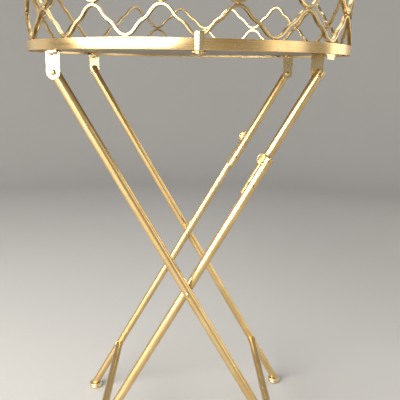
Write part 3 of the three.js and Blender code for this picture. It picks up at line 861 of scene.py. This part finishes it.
def make_links():
    for where, side in FRONT_REAR.items():
        y = side * LINK_Y
        tube(f"link_{where}_tube", on_b(-TOP_OVERRUN, y), on_b(ELBOW_AT + LAP_DOWN, y), "links",
             [f"link_{where}"])


STOP_T = 2 * MM
STOP_HALF = 8 * MM
STOP_EAR = 6.5 * MM
STOP_SHOULDER = 1 * MM
STOP_LIP_L = 10 * MM
BOSS_AT = 138 * MM
BOSS_TURN = math.radians(50)
STOP_AT = ELBOW_AT - LAP_UP + 6 * MM


def stop_plate(name, side, nodes):
    """The plate that locks frame B straight: a round ear, with a lip folded over the link."""
    leg_side = LEG_B_Y - TUBE_R - GAP
    edge = TUBE_R + GAP
    shoulder = edge + STOP_SHOULDER
    outline = [(-STOP_HALF, -4 * MM), (STOP_HALF, -4 * MM)]
    for k in range(25):
        a = math.pi * k / 24
        outline.append((STOP_HALF * math.cos(a), shoulder + (STOP_EAR - STOP_SHOULDER) * math.sin(a)))
    place = on_b(STOP_AT, side * leg_side)
    basis = Matrix((-side * DOWN_B, OUTWARD_B, Vector((0, -side, 0)))).transposed().to_4x4()
    matrix = Matrix.Translation(place) @ basis
    plate(name, outline, STOP_T, "frame_b", nodes, matrix)
    half = STOP_LIP_L / 2
    outline = [(-half, edge), (half, edge), (half, edge + STOP_T), (-half, edge + STOP_T)]
    plate(name.replace("plate", "lip"), outline, leg_side - (LINK_Y - 2 * MM), "frame_b", [], matrix,
          bevel=0.6 * MM)


def make_frame_b():
    body = "frame_b"
    cross_bar("crossbar_b_tube", on_b(BAR_AT, 0), LEG_B_Y, DOWN_B, body, ["crossbar_b"])
    cross, elbow = on_b(SIDE, 0), on_b(ELBOW_AT, 0)
    for where, side in FRONT_REAR.items():
        y = side * LEG_B_Y
        end = on_b(FOOT_AT - GAP, y)
        tube(f"leg_b_{where}_tube", on_b(ELBOW_AT - LAP_UP, y), end, body, [f"leg_b_{where}"],
             end_cut=level_cut(DOWN_B))
        foot(f"foot_b_{where}_disc", on_b(FOOT_AT, y), body, [f"foot_b_{where}"])
        head = Vector((elbow.x, side * (LEG_B_Y + TUBE_R + GAP), elbow.z))
        rivet(f"elbow_{where}_rivet", head, (0, -side, 0), abs(head.y) - (LINK_Y - TUBE_R - GAP), body,
              [f"elbow_rivet_{where}"])
        sleeve = rounded_box_profile(2.8 * MM, SPACER_R, LINK_Y + TUBE_R + GAP, LEG_B_Y - TUBE_R - GAP,
                                     0.4 * MM)
        verts, faces = hoop(sleeve, 40)
        piece(f"elbow_{where}_sleeve", verts, faces, body, "fitting", [f"elbow_spacer_{where}"],
              facing((elbow.x, 0, elbow.z), (0, side, 0), (0, 0, 1)))
        head = Vector((cross.x, side * (LEG_B_Y - TUBE_R - GAP), cross.z))
        rivet(f"cross_b_{where}_rivet", head, (0, side, 0), 2 * TUBE_R, body, [f"cross_rivet_b_{where}"],
              tail=False)
        stop_plate(f"stop_{where}_plate", side, [f"stop_plate_{where}"])
        stop = on_b(STOP_AT, 0)
        head = Vector((stop.x, side * (LEG_B_Y + TUBE_R + GAP), stop.z))
        rivet(f"stop_{where}_rivet", head, (0, -side, 0), 2 * TUBE_R + 2 * GAP + STOP_T, body,
              [f"stop_rivet_{where}"], head_r=3 * MM, head_h=0.9 * MM, tail=False)
        normal = Vector((0, side, 0)) * math.cos(BOSS_TURN) + OUTWARD_B * math.sin(BOSS_TURN)
        seat = on_b(BOSS_AT, y) + normal * (TUBE_R - 0.9 * MM)
        rivet(f"lap_{where}_boss", seat, -normal, 2 * MM, body, [], head_r=3.8 * MM, head_h=2.6 * MM,
              tail=False)


# ---- Stage ----
LIGHTS_AIM = Vector((0, 0, 0.45))
WORLD_LIGHT = 0.22


def make_stage():
    floor_r, curve, wall = 2.2, 1.2, 3.4
    profile = [(0, 0), (floor_r * 0.5, 0), (floor_r, 0)]
    for k in range(1, 17):
        a = math.pi / 2 * k / 16
        profile.append((floor_r + curve * math.sin(a), curve * (1 - math.cos(a))))
    profile.append((floor_r + curve, wall))
    segments = 96
    verts, faces = [(0, 0, 0)], []
    for radius, height in profile[1:]:
        for k in range(segments):
            a = 2 * math.pi * k / segments
            verts.append((radius * math.cos(a), radius * math.sin(a), height))
    for k in range(segments):
        faces.append((0, 1 + k, 1 + (k + 1) % segments))
    for i in range(len(profile) - 2):
        a, b = 1 + i * segments, 1 + (i + 1) * segments
        for k in range(segments):
            m = (k + 1) % segments
            faces.append((a + k, b + k, b + m, a + m))
    mesh = bpy.data.meshes.new("studio_sweep")
    mesh.from_pydata(verts, [], faces)
    mesh.polygons.foreach_set("use_smooth", [True] * len(mesh.polygons))
    mesh.materials.append(stage_material())
    sweep = bpy.data.objects.new("studio_sweep", mesh)
    scene.collection.objects.link(sweep)

    world = bpy.data.worlds.new("studio")
    world.use_nodes = True
    world.node_tree.nodes["Background"].inputs["Color"].default_value = (0.95, 0.97, 1.0, 1)
    world.node_tree.nodes["Background"].inputs["Strength"].default_value = WORLD_LIGHT
    scene.world = world

    def softbox(name, azimuth, distance, height, width, tall, power, colour):
        """A soft light at an azimuth left of the front, aimed at the table."""
        data = bpy.data.lights.new(name, "AREA")
        data.shape = "RECTANGLE"
        data.size, data.size_y = width, tall
        data.energy = power
        data.color = colour
        light = bpy.data.objects.new(name, data)
        a = math.radians(azimuth)
        at = Vector((-math.sin(a) * distance, -math.cos(a) * distance, height))
        turn = (LIGHTS_AIM - at).to_track_quat("-Z", "Y")
        light.matrix_world = Matrix.Translation(at) @ turn.to_matrix().to_4x4()
        light.visible_camera = False
        scene.collection.objects.link(light)

    softbox("key_softbox", 42, 2.0, 1.25, 2.5, 1.5, 172, (1.0, 0.98, 0.93))
    softbox("fill_softbox", -62, 2.1, 0.8, 1.0, 1.5, 7, (1.0, 0.96, 0.90))
    softbox("edge_softbox", -116, 2.1, 0.9, 0.9, 1.7, 10, (1.0, 0.96, 0.82))
    softbox("side_softbox", 118, 2.1, 0.9, 1.2, 1.4, 3, (1.0, 0.96, 0.9))
    softbox("top_softbox", 190, 0.9, 2.3, 1.6, 1.6, 18, (0.97, 0.98, 1.0))
    scene.view_settings.view_transform = "Standard"


make_camera()
make_stage()
make_tray()
make_clip()
make_tabs()
make_brackets()
make_bracket_braze()
make_frame_a()
make_links()
make_frame_b()

bpy.context.view_layer.update()
